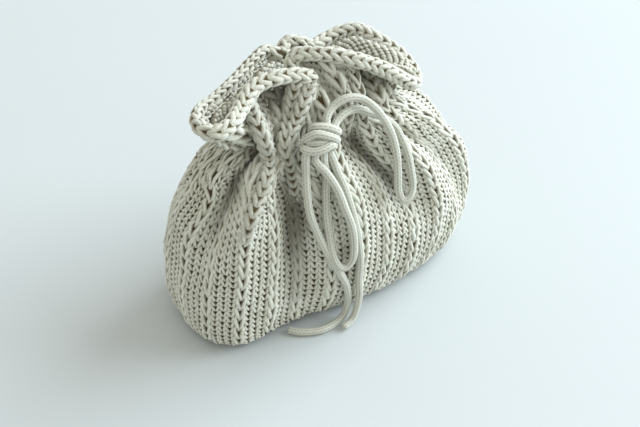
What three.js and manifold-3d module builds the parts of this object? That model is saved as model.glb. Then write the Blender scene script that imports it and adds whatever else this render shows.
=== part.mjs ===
// Knitted drawstring pouch: flat base, gathered wall, two frill lobes and a cord tied in a bow.
// Millimetres, +Z up, front towards -Y, origin on the table under the middle of the pouch.

import * as THREE from 'three';
import * as BufferGeometryUtils from 'three/addons/utils/BufferGeometryUtils.js';
import Module from 'manifold-3d';

const wasm = await Module();
wasm.setup();

// Driving dimensions
const bagWidth = 210;
const bagDepth = 102;
const neckHeight = 126;
const frillRise = 34;
const clothThickness = 3.6;
const baseThickness = 4;
const cordDiameter = 5;
const edgeDiameter = 7;
const pleatDepth = 5;
const gap = 0.3;

// The shapes below are drawn for a pouch of these sizes and stretched to the driving ones
const drawn = { width: 210, depth: 102, neck: 126, rise: 34 };
const across = bagWidth / drawn.width;
const deep = bagDepth / drawn.depth;
const tall = neckHeight / drawn.neck;
const cordRadius = cordDiameter / 2;
const halfCloth = clothThickness / 2;

// Wall sections from the base to the drawstring line: height, half width, half depth, squareness, centre
const wallSections = [
  [0, 92, 42, 3.0, -4],
  [8, 99, 47, 3.0, -4],
  [30, 105, 51, 2.8, -0.65],
  [60, 102, 50, 2.6, 0],
  [90, 89, 44, 2.4, -3],
  [112, 72, 35, 2.2, -6],
  [126, 50, 25, 2.0, -3],
];

// How deep the pleats are at a height, as a share of their depth at the neck
const pleatGrowth = [[0, 0], [30, 0], [60, 0.36], [90, 0.76], [112, 1], [126, 1]];

// Pleat ridges, as shares of the way round from the right-hand side, over the back
const ridges = [
  0.010, 0.070, 0.135, 0.195, 0.250, 0.310, 0.370, 0.425,
  0.480, 0.535, 0.592, 0.637, 0.757, 0.835, 0.890, 0.950,
];

// Rim of the frill: share of the way round, x, y, z and the lip's rise in degrees
const rim = [
  [0.000, 63, -10, 139, -50],
  [0.035, 60, 2, 145, -20],
  [0.075, 50, 15, 154, 20],
  [0.120, 40, 26, 158, 45],
  [0.160, 27, 30, 157, 55],
  [0.195, 13, 27, 154, 65],
  [0.225, 3, 30, 159, 65],
  [0.255, -6, 34, 163, 60],
  [0.310, -17, 31, 161, 60],
  [0.350, -32, 26, 161, 60],
  [0.390, -48, 17, 160, 55],
  [0.430, -64, 9, 160, 40],
  [0.470, -81, 0, 158, 10],
  [0.500, -85, -14, 156, 0],
  [0.525, -76, -26, 154, -15],
  [0.555, -62, -25, 157, 5],
  [0.585, -52, -15, 160, 45],
  [0.620, -40, -5, 160, 50],
  [0.655, -22, -5, 160, 55],
  [0.690, -4, -10, 159, 55],
  [0.745, -12, 7, 163, 60],
  [0.785, 2, -1, 166, 60],
  [0.830, 16, -10, 164, 40],
  [0.875, 30, -13.5, 157.5, 25],
  [0.920, 46, -17, 148.5, -20],
  [0.965, 60, -19, 140, -45],
];

// Each lobe's share of the way round, and the x of the line that it folds about
const leftLobe = { from: 0.335, to: 0.672, foldAt: -27 };
const rightLobe = { from: -0.225, to: 0.235, foldAt: 22 };
const lobeSwing = THREE.MathUtils.degToRad(24);
const lobeSeat = 0.9;
const clothRise = 38;
const collarShare = 0.16;

const yarn = { color: 0xcdcdc0, roughness: 0.95, metalness: 0 };
const cordLook = { color: 0xd3d3c9, roughness: 0.85, metalness: 0 };

// A smooth curve through rows of numbers, the first number of each row being where it lies
function between(rows, at) {
  const last = rows.length - 1;
  let i = 0;
  while (i < last - 1 && at >= rows[i + 1][0]) {
    i += 1;
  }
  const slope = (k) => {
    const low = Math.max(k - 1, 0);
    const high = Math.min(k + 1, last);
    return rows[k].map((value, c) => {
      const before = k > 0 ? (value - rows[low][c]) / (rows[k][0] - rows[low][0]) : null;
      const after = k < last ? (rows[high][c] - value) / (rows[high][0] - rows[k][0]) : null;
      if (before === null) {
        return after;
      }
      return after === null ? before : (before + after) / 2;
    });
  };
  const h = rows[i + 1][0] - rows[i][0];
  const t = (at - rows[i][0]) / h;
  const start = slope(i);
  const end = slope(i + 1);
  const a = 2 * t ** 3 - 3 * t ** 2 + 1;
  const b = t ** 3 - 2 * t ** 2 + t;
  const c = -2 * t ** 3 + 3 * t ** 2;
  const d = t ** 3 - t ** 2;
  return rows[i].map((value, k) => a * value + b * h * start[k] + c * rows[i + 1][k] + d * h * end[k]);
}

function straightBetween(rows, at) {
  let i = 0;
  while (i < rows.length - 2 && at >= rows[i + 1][0]) {
    i += 1;
  }
  const t = THREE.MathUtils.clamp((at - rows[i][0]) / (rows[i + 1][0] - rows[i][0]), 0, 1);
  return rows[i][1] + t * (rows[i + 1][1] - rows[i][1]);
}

const wrap = (share) => share - Math.floor(share);

// The wall's section at a share of the way up, in stretched sizes
const sectionRows = wallSections.map((row, k) => [k / (wallSections.length - 1), ...row]);
function section(share) {
  const [, height, a, b, n, centre] = between(sectionRows, share);
  return { drawnHeight: height, height: height * tall, a: a * across, b: b * deep, n, centre: centre * across };
}

// A rounded oval walked at an even pace, starting at the right and turning over the back
function walkOval({ a, b, n }) {
  const count = 720;
  const points = [];
  const lengths = [0];
  for (let k = 0; k <= count; k += 1) {
    const t = (k / count) * 2 * Math.PI;
    const c = Math.cos(t);
    const s = Math.sin(t);
    const x = a * Math.sign(c) * Math.abs(c) ** (2 / n);
    const y = b * Math.sign(s) * Math.abs(s) ** (2 / n);
    points.push([x, y]);
    if (k > 0) {
      const [px, py] = points[k - 1];
      lengths.push(lengths[k - 1] + Math.hypot(x - px, y - py));
    }
  }
  return (share) => {
    const goal = wrap(share) * lengths[count];
    let low = 0;
    let high = count;
    while (high - low > 1) {
      const middle = (low + high) >> 1;
      if (lengths[middle] <= goal) {
        low = middle;
      } else {
        high = middle;
      }
    }
    const t = (goal - lengths[low]) / (lengths[high] - lengths[low] || 1);
    return [
      points[low][0] + t * (points[high][0] - points[low][0]),
      points[low][1] + t * (points[high][1] - points[low][1]),
    ];
  };
}

// Where the way round stands among the pleats: whole numbers are ridges, halves are valleys
function pleatPhase(share) {
  const u = wrap(share);
  const marks = [ridges[ridges.length - 1] - 1, ...ridges, ridges[0] + 1];
  let i = 0;
  while (i < marks.length - 2 && u >= marks[i + 1]) {
    i += 1;
  }
  return i - 1 + (u - marks[i]) / (marks[i + 1] - marks[i]);
}

function shareAtPhase(phase) {
  const marks = [...ridges, ridges[0] + 1];
  const i = Math.floor(phase);
  return marks[i] + (phase - i) * (marks[i + 1] - marks[i]);
}

const ovals = new Map();
function ovalAt(up) {
  if (!ovals.has(up)) {
    const found = section(up);
    ovals.set(up, { ...found, walk: walkOval(found) });
  }
  return ovals.get(up);
}

// The middle of the wall's cloth: way round, way up, and how much of the pleats to keep
function wallPoint(round, up, pleats = 1, inward = 0) {
  const oval = ovalAt(up);
  const [x, y] = oval.walk(round);
  const [ax, ay] = oval.walk(round - 0.004);
  const [bx, by] = oval.walk(round + 0.004);
  const out = new THREE.Vector2(by - ay, -(bx - ax)).normalize();
  const depth = pleatDepth * straightBetween(pleatGrowth, oval.drawnHeight) * pleats;
  const move = depth * Math.cos(2 * Math.PI * pleatPhase(round)) - inward;
  return new THREE.Vector3(x + oval.centre + out.x * move, y + out.y * move, oval.height);
}

// The rim curve closed on itself, in stretched sizes
const rimRows = [
  ...rim.slice(-3).map(([u, ...rest]) => [u - 1, ...rest]),
  ...rim,
  ...rim.slice(0, 3).map(([u, ...rest]) => [u + 1, ...rest]),
];
function rimPoint(round) {
  const [, x, y, z, lip] = between(rimRows, wrap(round));
  const rise = ((z - drawn.neck) / drawn.rise) * frillRise;
  return { place: new THREE.Vector3(x * across, y * deep, neckHeight + rise), lip };
}

// The middle of the frill's cloth, from the drawstring line to the rim
function frillPoint(round, up) {
  const foot = wallPoint(round, 1);
  const { place, lip } = rimPoint(round);
  const before = rimPoint(round - 0.001).place;
  const after = rimPoint(round + 0.001).place;
  const out = new THREE.Vector3(after.y - before.y, before.x - after.x, 0).normalize();
  const angle = THREE.MathUtils.degToRad(lip);
  const lipWay = out.multiplyScalar(Math.cos(angle)).add(new THREE.Vector3(0, 0, Math.sin(angle)));
  const neck = ovalAt(1);
  const flare = new THREE.Vector3((foot.x - neck.centre) / neck.a, foot.y / neck.b, 0).normalize();
  const first = foot.clone().addScaledVector(flare, 4).add(new THREE.Vector3(0, 0, 15 * frillRise / drawn.rise));
  const second = place.clone().addScaledVector(lipWay, -13 * frillRise / drawn.rise);
  return new THREE.CubicBezierCurve3(foot, first, second, place).getPoint(up);
}

// A closed cloth shell from a grid of middle points, rows from low to high
function shellGeometry(grid, closedRound) {
  const rows = grid.length;
  const columns = grid[0].length;
  const positions = [];
  const faces = [];
  const normalAt = (i, j) => {
    const left = closedRound ? (j + columns - 1) % columns : Math.max(j - 1, 0);
    const right = closedRound ? (j + 1) % columns : Math.min(j + 1, columns - 1);
    const round = grid[i][right].clone().sub(grid[i][left]);
    const rise = grid[Math.min(i + 1, rows - 1)][j].clone().sub(grid[Math.max(i - 1, 0)][j]);
    return round.cross(rise).normalize();
  };
  for (const side of [1, -1]) {
    for (let i = 0; i < rows; i += 1) {
      for (let j = 0; j < columns; j += 1) {
        const p = grid[i][j].clone().addScaledVector(normalAt(i, j), side * halfCloth);
        if (grid[i][j].flatFoot !== undefined) {
          p.z = grid[i][j].flatFoot;
        }
        positions.push(p.x, p.y, p.z);
      }
    }
  }
  const index = (side, i, j) => side * rows * columns + i * columns + (j % columns);
  const quad = (a, b, c, d) => {
    faces.push(a, b, c, a, c, d);
  };
  const spans = closedRound ? columns : columns - 1;
  for (let i = 0; i < rows - 1; i += 1) {
    for (let j = 0; j < spans; j += 1) {
      quad(index(0, i, j), index(0, i, j + 1), index(0, i + 1, j + 1), index(0, i + 1, j));
      quad(index(1, i, j + 1), index(1, i, j), index(1, i + 1, j), index(1, i + 1, j + 1));
    }
  }
  for (let j = 0; j < spans; j += 1) {
    const top = rows - 1;
    quad(index(0, top, j), index(0, top, j + 1), index(1, top, j + 1), index(1, top, j));
    quad(index(0, 0, j + 1), index(0, 0, j), index(1, 0, j), index(1, 0, j + 1));
  }
  if (!closedRound) {
    const end = columns - 1;
    for (let i = 0; i < rows - 1; i += 1) {
      quad(index(0, i + 1, 0), index(1, i + 1, 0), index(1, i, 0), index(0, i, 0));
      quad(index(0, i, end), index(1, i, end), index(1, i + 1, end), index(0, i + 1, end));
    }
  }
  const geometry = new THREE.BufferGeometry();
  geometry.setAttribute('position', new THREE.Float32BufferAttribute(positions, 3));
  geometry.setIndex(faces);
  return geometry;
}

// A plate from closed outlines stacked from low to high
function plateGeometry(outlines) {
  const columns = outlines[0].length;
  const positions = [];
  const faces = [];
  for (const outline of outlines) {
    for (const p of outline) {
      positions.push(p.x, p.y, p.z);
    }
  }
  for (let i = 0; i < outlines.length - 1; i += 1) {
    for (let j = 0; j < columns; j += 1) {
      const k = (j + 1) % columns;
      const low = i * columns;
      const high = low + columns;
      faces.push(low + j, low + k, high + k, low + j, high + k, high + j);
    }
  }
  const centre = wallSections[0][4] * across;
  const bottom = positions.length / 3;
  positions.push(centre, 0, outlines[0][0].z);
  positions.push(centre, 0, outlines[outlines.length - 1][0].z);
  const top = (outlines.length - 1) * columns;
  for (let j = 0; j < columns; j += 1) {
    const k = (j + 1) % columns;
    faces.push(bottom, k, j, bottom + 1, top + j, top + k);
  }
  const geometry = new THREE.BufferGeometry();
  geometry.setAttribute('position', new THREE.Float32BufferAttribute(positions, 3));
  geometry.setIndex(faces);
  return geometry;
}

function solidFrom(geometry) {
  const plain = geometry.clone();
  plain.deleteAttribute('normal');
  plain.deleteAttribute('uv');
  const merged = BufferGeometryUtils.mergeVertices(plain, 1e-4);
  return new wasm.Manifold(new wasm.Mesh({
    numProp: 3,
    vertProperties: new Float32Array(merged.attributes.position.array),
    triVerts: new Uint32Array(merged.index.array),
  }));
}

function geometryFrom(solid) {
  const mesh = solid.getMesh();
  const geometry = new THREE.BufferGeometry();
  const positions = [];
  for (let k = 0; k < mesh.vertProperties.length; k += mesh.numProp) {
    positions.push(mesh.vertProperties[k], mesh.vertProperties[k + 1], mesh.vertProperties[k + 2]);
  }
  geometry.setAttribute('position', new THREE.Float32BufferAttribute(positions, 3));
  geometry.setIndex([...mesh.triVerts]);
  return geometry;
}

function roundSection(radius, sides) {
  const outline = new THREE.Shape();
  for (let k = 0; k <= sides; k += 1) {
    const t = (k / sides) * 2 * Math.PI;
    const x = radius * Math.cos(t);
    const y = radius * Math.sin(t);
    if (k === 0) {
      outline.moveTo(x, y);
    } else {
      outline.lineTo(x, y);
    }
  }
  return outline;
}

function tubeGeometry(points, radius, steps, sides = 8) {
  const path = new THREE.CatmullRomCurve3(points, false, 'centripetal');
  return new THREE.ExtrudeGeometry(roundSection(radius, sides), { steps, extrudePath: path, curveSegments: 1 });
}

// A cord stretch with a round end where it leaves the knot
function cordGeometry(points, steps, roundEnds) {
  let solid = solidFrom(tubeGeometry(points, cordRadius, steps));
  for (const end of roundEnds) {
    const ball = new THREE.SphereGeometry(cordRadius * 1.02, 10, 6);
    ball.translate(end.x, end.y, end.z);
    solid = solid.add(solidFrom(ball));
  }
  return geometryFrom(solid);
}

const pouch = new THREE.Group();
pouch.name = 'drawstring_pouch';

function addPiece(name, geometry, look) {
  const flat = geometry.index ? geometry.toNonIndexed() : geometry;
  flat.computeVertexNormals();
  const mesh = new THREE.Mesh(flat, new THREE.MeshStandardMaterial(look));
  mesh.name = name;
  pouch.add(mesh);
  return mesh;
}

// Columns of cloth, four to a pleat
const columnsPerPleat = 4;
const columns = [];
for (let k = 0; k < ridges.length * columnsPerPleat; k += 1) {
  columns.push(shareAtPhase(k / columnsPerPleat));
}

// Base: a flat oval panel with a rounded edge
const wallFoot = 0.085;
const basePlan = (share, grow) => columns.map((u) => {
  const p = wallPoint(u, share, 0, -grow);
  return p;
});
const atHeight = (points, z) => points.map((p) => new THREE.Vector3(p.x, p.y, z));
addPiece('base_panel', plateGeometry([
  atHeight(basePlan(0, -2.5), 0),
  atHeight(basePlan(0, 0.5), 1.2),
  atHeight(basePlan(wallFoot, halfCloth - 0.6), baseThickness),
]), yarn);

// Drawstring: round the waist inside the pleats, with both ends in the bow's knot
const knotCentre = new THREE.Vector3(-20.2 * across, -32 * deep, neckHeight + 8);
const knotSide = new THREE.Vector3(0.913, -0.211, -0.351).normalize();
const knotOut = new THREE.Vector3(-0.022, -0.879, 0.476).normalize();
const knotUp = new THREE.Vector3().crossVectors(knotOut, knotSide).normalize();
const knotSize = { side: 11, up: 7.8, out: 5.8 };
const onKnot = (side, up, out) => knotCentre.clone()
  .addScaledVector(knotSide, side)
  .addScaledVector(knotUp, up)
  .addScaledVector(knotOut, out);
const waist = [];
for (let k = 0; k <= 44; k += 1) {
  waist.push(wallPoint(0.622 - k * (0.862 / 44), 1, 0, 1.2));
}
const drawstringWay = [
  onKnot(-6, -2.5, -2),
  onKnot(-10.5, -4, -2.6),
  ...waist,
  onKnot(11.5, -1, -1.6),
  onKnot(6, -1, -1.6),
];
const drawstringSteps = 64;
const roomWay = [onKnot(-5.5, -2.4, -1.9), ...drawstringWay.slice(1, -1), onKnot(5.5, -1, -1.6)];
const drawstringRoom = solidFrom(tubeGeometry(roomWay, cordRadius + 0.6, drawstringSteps, 8));
addPiece('drawstring_neck_run', tubeGeometry(drawstringWay, cordRadius, drawstringSteps, 8), cordLook);

// Wall: one gathered shell from the base to a short collar above the drawstring
const wallUps = [wallFoot, 0.167, 0.25, 0.333, 0.417, 0.5, 0.583, 0.667, 0.75, 0.833, 0.917, 1];
const wallGrid = wallUps.map((up, i) => columns.map((u) => {
  const p = wallPoint(u, up);
  if (i === 0) {
    p.flatFoot = baseThickness + gap;
  }
  return p;
}));
for (const up of [collarShare / 2, collarShare]) {
  wallGrid.push(columns.map((u) => frillPoint(u, up)));
}
const wallSolid = solidFrom(shellGeometry(wallGrid, true)).subtract(drawstringRoom);
addPiece('body_wall', geometryFrom(wallSolid), yarn);

// Frill lobes: each stands on the collar with room to fold, and ends in its rolled edge
function lobeColumns({ from, to }) {
  const count = Math.round((to - from) * 130);
  const found = [];
  for (let k = 0; k <= count; k += 1) {
    found.push(from + (k / count) * (to - from));
  }
  return found;
}

function addLobe(side, lobe) {
  const shares = lobeColumns(lobe);
  const edgeShare = 1 - (edgeDiameter / 2 + gap + 1) / clothRise;
  const grid = [0, 0.2, 0.4, 0.6, 0.8, 1].map((t) => shares.map((u) => {
    const foot = frillPoint(u, collarShare);
    const lift = lobeSeat + Math.abs(foot.x - lobe.foldAt * across) * Math.tan(lobeSwing);
    const start = collarShare + lift / clothRise;
    return frillPoint(u, start + t * (edgeShare - start));
  }));
  const rimWay = shares.map((u) => rimPoint(u).place);
  const rimSteps = 48;
  const past = (end, inside) => end.clone().sub(inside).setLength(1).add(end);
  const roomWay = [past(rimWay[0], rimWay[1]), ...rimWay, past(rimWay.at(-1), rimWay.at(-2))];
  const rimRoom = solidFrom(tubeGeometry(roomWay, edgeDiameter / 2 + gap + 0.1, rimSteps, 8));
  const cloth = solidFrom(shellGeometry(grid, false)).subtract(rimRoom);
  addPiece(`frill_${side}`, geometryFrom(cloth), yarn);
  addPiece(`rim_edge_${side}`, tubeGeometry(rimWay, edgeDiameter / 2, rimSteps, 8), yarn);
}

addLobe('left', leftLobe);
addLobe('right', rightLobe);

// Bow: a knot with two loops and two tails, each hanging from its own place on the knot
const knotBall = new THREE.SphereGeometry(1, 24, 14);
knotBall.applyMatrix4(new THREE.Matrix4().makeBasis(
  knotSide.clone().multiplyScalar(knotSize.side),
  knotUp.clone().multiplyScalar(knotSize.up),
  knotOut.clone().multiplyScalar(-knotSize.out),
).scale(new THREE.Vector3(1, 1, -1)));
knotBall.translate(knotCentre.x, knotCentre.y, knotCentre.z);
addPiece('bow_knot', geometryFrom(solidFrom(knotBall).subtract(drawstringRoom)), cordLook);

const spot = (x, y, z) => new THREE.Vector3(x * across, y * deep, z * tall);
const onTable = (x, y) => new THREE.Vector3(x * across, y * deep, cordRadius + gap);

const rightLoopWay = [
  onKnot(5.5, 10.7, -1.6),
  spot(-5.5, -24, 144), spot(0, -24.5, 148), spot(7, -25.2, 148), spot(13, -28, 145.5),
  spot(19, -31, 140), spot(27.5, -32, 129.5), spot(34, -33, 118), spot(38.5, -38, 108),
  spot(38.5, -44.6, 101), spot(36, -50.2, 93), spot(33, -52, 86.5), spot(29.4, -52.6, 82.2),
  spot(26, -51.6, 86.5), spot(25.6, -49.6, 95), spot(26, -45.5, 109), spot(25, -39, 120),
  spot(19.5, -34, 129), spot(13, -30.5, 135), spot(5, -28, 140), spot(-3, -28, 142.8),
  spot(-9, -28, 142.8),
  onKnot(0.5, 10.7, 1.6),
];
const lowerLoopWay = [
  onKnot(2.8, -10.4, 0),
  spot(-20.4, -37.5, 114), spot(-23, -41, 104), spot(-25, -45, 91), spot(-25, -48.5, 80),
  spot(-24, -52, 67), spot(-22.3, -54, 60), spot(-18.8, -55.5, 55.2), spot(-15, -56.2, 55),
  spot(-12.6, -56.8, 59), spot(-12, -57, 67), spot(-14, -56, 84), spot(-17, -52, 97),
  spot(-19.5, -46.8, 109), spot(-22.8, -41.8, 118),
  onKnot(-2.8, -10.4, 0),
];
const leftTailWay = [
  onKnot(-9, -8.3, 0.4),
  spot(-32.5, -35.5, 120), spot(-34.5, -39, 111), spot(-36, -45, 95), spot(-33, -50, 78),
  spot(-30.6, -53.4, 64), spot(-23.4, -56.4, 48), spot(-18.5, -57, 36), spot(-16.5, -57, 22),
  spot(-16, -57, 12), spot(-18, -59, 5),
  onTable(-24, -60.5), onTable(-34, -59), onTable(-43, -54.5), onTable(-50, -50.5),
];
const rightTailWay = [
  onKnot(8, -8.6, 0),
  spot(-15, -41, 114), spot(-13.5, -45.5, 106), spot(-11.2, -50.2, 93), spot(-7.4, -54, 77),
  spot(-6.4, -56.2, 62), spot(-7, -57, 46), spot(-7, -57.5, 33), spot(-7.5, -57.5, 18),
  spot(-8, -59.5, 7),
  onTable(-10, -63.5), onTable(-14, -68),
];
addPiece('bow_loop_right', cordGeometry(rightLoopWay, 30, [rightLoopWay[0], rightLoopWay.at(-1)]), cordLook);
addPiece('bow_loop_lower', cordGeometry(lowerLoopWay, 26, [lowerLoopWay[0], lowerLoopWay.at(-1)]), cordLook);
addPiece('bow_tail_left', cordGeometry(leftTailWay, 24, [leftTailWay[0]]), cordLook);
addPiece('bow_tail_right', cordGeometry(rightTailWay, 20, [rightTailWay[0]]), cordLook);

export default pouch;
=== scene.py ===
import math

import bpy
import numpy as np
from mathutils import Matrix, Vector


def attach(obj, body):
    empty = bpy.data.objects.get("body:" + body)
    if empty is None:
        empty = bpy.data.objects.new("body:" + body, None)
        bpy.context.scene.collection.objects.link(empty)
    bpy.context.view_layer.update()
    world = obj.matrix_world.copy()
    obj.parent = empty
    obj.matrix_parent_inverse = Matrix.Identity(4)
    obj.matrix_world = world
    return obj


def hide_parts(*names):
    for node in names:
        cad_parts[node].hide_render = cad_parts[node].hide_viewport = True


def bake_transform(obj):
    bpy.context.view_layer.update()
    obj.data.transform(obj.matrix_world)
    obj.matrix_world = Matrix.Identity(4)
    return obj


# Knitted cotton drawstring pouch: every row of stitches is a real strand of yarn wrapped on the cloth
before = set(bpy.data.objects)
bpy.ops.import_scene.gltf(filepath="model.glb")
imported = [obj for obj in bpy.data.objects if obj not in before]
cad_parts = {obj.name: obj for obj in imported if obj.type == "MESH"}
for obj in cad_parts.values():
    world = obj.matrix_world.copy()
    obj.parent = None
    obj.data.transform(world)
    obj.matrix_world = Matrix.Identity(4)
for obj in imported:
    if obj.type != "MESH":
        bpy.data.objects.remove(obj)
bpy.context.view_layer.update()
scene = bpy.context.scene
scene.view_settings.view_transform = "Standard"
mm = 0.001
turn = 2 * math.pi
upward = np.array([0, 0, 1])


def linear(hexColour):
    parts = [int(hexColour[i:i + 2], 16) / 255 for i in (1, 3, 5)]
    return [c / 12.92 if c <= 0.04045 else ((c + 0.055) / 1.055) ** 2.4 for c in parts] + [1.0]


def addNode(tree, kind, inputs=None, **settings):
    node = tree.nodes.new(kind)
    for name, value in settings.items():
        setattr(node, name, value)
    for key, value in (inputs or {}).items():
        if isinstance(value, bpy.types.NodeSocket):
            tree.links.new(value, node.inputs[key])
        else:
            node.inputs[key].default_value = value
    return node


def unit(vectors):
    return vectors / np.maximum(np.linalg.norm(vectors, axis=-1, keepdims=True), 1e-9)


def lengthAlong(line):
    # How far along a line each of its points lies
    return np.concatenate([[0], np.cumsum(np.linalg.norm(np.diff(line, axis=0), axis=1))])


def readAlong(at, length, line):
    # Places at the given distances along a line
    return np.stack([np.interp(at, length, row) for row in line.T], -1)


# Camera at the photograph's angle
cameraView = {"azimuth": -33.4, "elevation": 43.0, "lens": 55.0, "sensor": 36.0, "clipStart": 10 * mm,
              "fieldWidth": 400 * mm, "lookAt": (0, 0, 60 * mm), "slideUp": -11.7 * mm}


def makeCamera(view):
    azimuth, elevation = math.radians(view["azimuth"]), math.radians(view["elevation"])
    back = Vector((math.sin(azimuth) * math.cos(elevation), -math.cos(azimuth) * math.cos(elevation),
                   math.sin(elevation)))
    turned = (-back).to_track_quat("-Z", "Y")
    data = bpy.data.cameras.new("photoCamera")
    data.lens = view["lens"]
    data.sensor_width = view["sensor"]
    data.clip_start = view["clipStart"]
    camera = bpy.data.objects.new("photoCamera", data)
    target = Vector(view["lookAt"]) + turned @ Vector((0, 1, 0)) * view["slideUp"]
    camera.location = target + back * (view["fieldWidth"] * view["lens"] / view["sensor"])
    camera.rotation_mode = "QUATERNION"
    camera.rotation_quaternion = turned
    scene.collection.objects.link(camera)
    scene.camera = camera


makeCamera(cameraView)
print("camera ready")


# Materials: sizes in millimetres; a colour mix has its share in input 0 and its colours in inputs 6 and 7
# groove, gap and hollow are painted shade: in the ply grooves, on the strands' backs and sides, and in the
# cloth's hollows; light against shade and the fuzz are the yarn's own uneven tone
yarnLook = {"light": "#eaece1", "shade": "#d9dbcb", "groove": "#8d8061", "gap": "#73674b",
            "hollow": "#453a24", "plies": 4, "plyPitch": 9.0, "plyHeight": 0.25, "patch": 18.0,
            "fuzz": 1.3, "fuzzHeight": 0.3, "bump": 0.6, "hairShare": 0.24, "grooveShare": 0.22,
            "backShare": 0.05, "sideShare": 0.82, "hollowShare": 0.76,
            "finish": {"Roughness": 0.92, "Sheen Weight": 0.25, "Sheen Roughness": 0.6,
                       "Specular IOR Level": 0.25}}


def startMaterial(name, finish):
    material = bpy.data.materials.new(name)
    material.use_nodes = True
    tree = material.node_tree
    tree.nodes.clear()
    shader = addNode(tree, "ShaderNodeBsdfPrincipled", finish)
    addNode(tree, "ShaderNodeOutputMaterial", {"Surface": shader.outputs["BSDF"]})
    place = addNode(tree, "ShaderNodeTexCoord").outputs["Object"]
    return material, tree, shader, place


def combedCottonYarn(look):
    # Combed cotton, loosely plied: matt, pale and a little fuzzy, with soft twisted grooves and painted shade
    # on backs and sides
    material, tree, shader, place = startMaterial("combed cotton yarn", look["finish"])
    value = {}
    for name in ("yarnFront", "yarnCrown", "yarnHollow"):
        value[name] = addNode(tree, "ShaderNodeAttribute", attribute_name=name).outputs["Fac"]
    for name in ("patch", "fuzz"):
        noise = addNode(tree, "ShaderNodeTexNoise",
                        {"Vector": place, "Scale": 1 / (look[name] * mm), "Detail": 3.0})
        value[name] = noise.outputs["Fac"]
    strand = addNode(tree, "ShaderNodeAttribute", attribute_name="yarnSpace")
    apart = addNode(tree, "ShaderNodeSeparateXYZ", {0: strand.outputs["Vector"]})
    value["x"], value["y"], value["along"] = apart.outputs
    for name, operation, a, b in [
        ("around", "ARCTAN2", "y", "x"),
        ("plied", "MULTIPLY", "around", look["plies"]),
        ("twist", "MULTIPLY", "along", turn * look["plies"] / (look["plyPitch"] * mm)),
        ("angle", "ADD", "plied", "twist"),
        ("wave", "SINE", "angle", 0.0),
        ("ply", "ABSOLUTE", "wave", 0.0),
    ]:
        node = addNode(tree, "ShaderNodeMath", {0: value.get(a, a), 1: value.get(b, b)}, operation=operation)
        value[name] = node.outputs[0]

    # What tints and darkens the yarn: what it is read from, from where to where, and its share at either end
    for name, source, low, high, atLow, atHigh, way in [
        # tint and hair are the yarn's own uneven tone; groove, back and side are painted shade, and outer
        # sets the hollows' painted shade
        ("tint", "patch", 0.3, 0.7, 0.0, 1.0, "LINEAR"),
        ("hair", "fuzz", 0.35, 0.65, look["hairShare"], 0.0, "LINEAR"),
        ("groove", "ply", 0.0, 0.45, look["grooveShare"], 0.0, "LINEAR"),
        ("back", "yarnFront", -1.0, 0.4, look["backShare"], 0.0, "LINEAR"),
        ("side", "yarnCrown", 0.2, 0.85, look["sideShare"], 0.0, "SMOOTHSTEP"),
        ("outer", "yarnFront", -0.9, 0.0, 0.0, look["hollowShare"], "LINEAR"),
    ]:
        node = addNode(tree, "ShaderNodeMapRange",
                       {"Value": value[source], "From Min": low, "From Max": high, "To Min": atLow,
                        "To Max": atHigh}, interpolation_type=way)
        value[name] = node.outputs[0]
    # Painted shade in the cloth's hollows and under the lips, kept off the strands' backs
    sunken = addNode(tree, "ShaderNodeMath", {0: value["yarnHollow"], 1: value["outer"]},
                     operation="MULTIPLY")
    value["sunken"] = sunken.outputs[0]
    colour = linear(look["shade"])
    for share, tone in [("tint", "light"), ("hair", "groove"), ("groove", "groove"), ("back", "groove"),
                        ("side", "gap"), ("sunken", "hollow")]:
        mixed = addNode(tree, "ShaderNodeMix", {0: value[share], 6: colour, 7: linear(look[tone])},
                        data_type="RGBA")
        colour = mixed.outputs[2]
    hairs = addNode(tree, "ShaderNodeBump", {"Height": value["fuzz"], "Strength": look["bump"],
                                             "Distance": look["fuzzHeight"] * mm})
    plies = addNode(tree, "ShaderNodeBump", {"Height": value["ply"], "Strength": look["bump"],
                                             "Distance": look["plyHeight"] * mm, "Normal": hairs.outputs[0]})
    tree.links.new(colour, shader.inputs["Base Color"])
    tree.links.new(plies.outputs[0], shader.inputs["Normal"])
    return material


shadeSheetLook = {"colour": "#5f543b", "deep": "#463d2b", "grain": 1.2, "grainHeight": 0.3, "bump": 0.5,
              "finish": {"Roughness": 0.95, "Specular IOR Level": 0.2}}


def shadeSheet(look):
    # Stands in for the hidden backs of the stitches: a dark sheet seen only through the gaps, painted as the
    # same cotton in shade
    material, tree, shader, place = startMaterial("painted shade sheet", look["finish"])
    noise = addNode(tree, "ShaderNodeTexNoise",
                    {"Vector": place, "Scale": 1 / (look["grain"] * mm), "Detail": 2.0})
    grain = noise.outputs["Fac"]
    mixed = addNode(tree, "ShaderNodeMix", {0: grain, 6: linear(look["deep"]), 7: linear(look["colour"])},
                    data_type="RGBA")
    bump = addNode(tree, "ShaderNodeBump", {"Height": grain, "Strength": look["bump"],
                                            "Distance": look["grainHeight"] * mm})
    tree.links.new(mixed.outputs[2], shader.inputs["Base Color"])
    tree.links.new(bump.outputs[0], shader.inputs["Normal"])
    return material


# groove is painted shade in the grooves between the stitches; light against shade is the cord's own uneven
# tone
cordLook = {"light": "#cfd1c6", "shade": "#c1c2b5", "groove": "#736e56", "grooveShare": 0.85,
            "grooveTop": 0.6, "patch": 12.0, "fuzz": 0.35, "fuzzHeight": 0.12, "bump": 0.4,
            "finish": {"Roughness": 0.88, "Sheen Weight": 0.2, "Sheen Roughness": 0.6,
                       "Specular IOR Level": 0.25}}


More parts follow.
